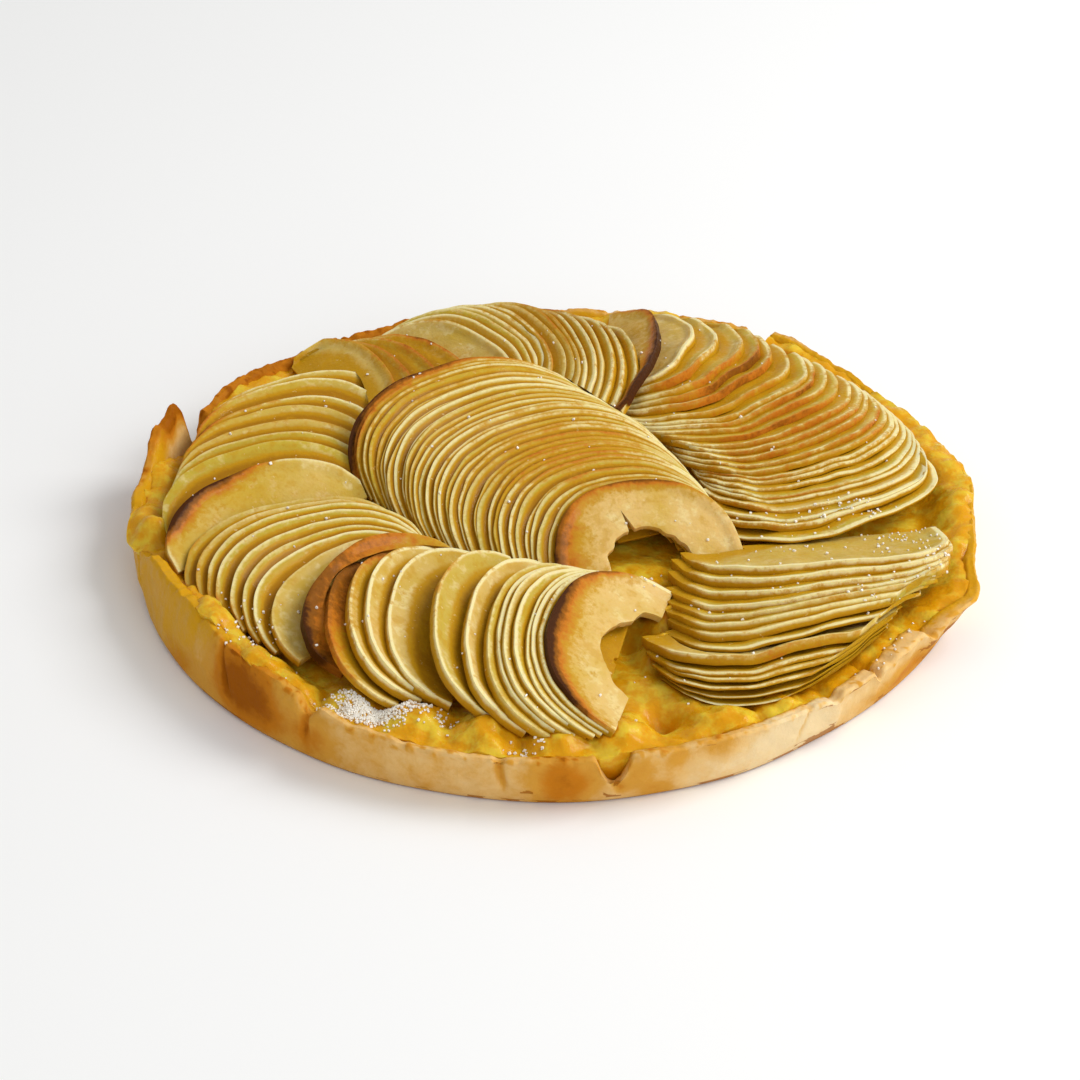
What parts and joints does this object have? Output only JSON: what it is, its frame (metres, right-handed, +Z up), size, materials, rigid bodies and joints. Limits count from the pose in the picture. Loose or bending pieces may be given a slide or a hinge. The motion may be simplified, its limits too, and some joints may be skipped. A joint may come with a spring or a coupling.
{
  "type": "apple tart",
  "caption": "Round open apple tart: a low shortcrust case with a torn edge, apple compote and fans of thin baked apple slices.",
  "frame": {"origin": "centre of the flat underside of the pastry case", "axes": "+Z up, out of the filling; -Y towards the side that faces the viewer"},
  "size_m": [0.2445, 0.2398, 0.0336],
  "materials": {
    "crust": "baked shortcrust pastry, pale golden with orange-brown patches, thinly glazed",
    "compote": "cooked apple compote, yellow to amber, wet and lumpy",
    "apple": "baked apple flesh, pale straw with toasted edges, under an amber glaze",
    "sugar": "loose grains of white sugar",
    "toasted_apple": "browned baked apple slice, glossy and slightly see-through"
  },
  "bodies": {
    "root": {"crust": "crust", "compote": "compote", "fan_centre": "apple", "fan_front": "apple", "fan_left_front": "apple", "fan_left_back": "apple", "slices_back_left": "apple", "fan_back": "apple", "fan_right": "apple", "fan_front_right": "apple", "slices_front_right": "apple", "slice_front_left": "toasted_apple", "slice_back_right": "toasted_apple"}
  },
  "joints": []
}
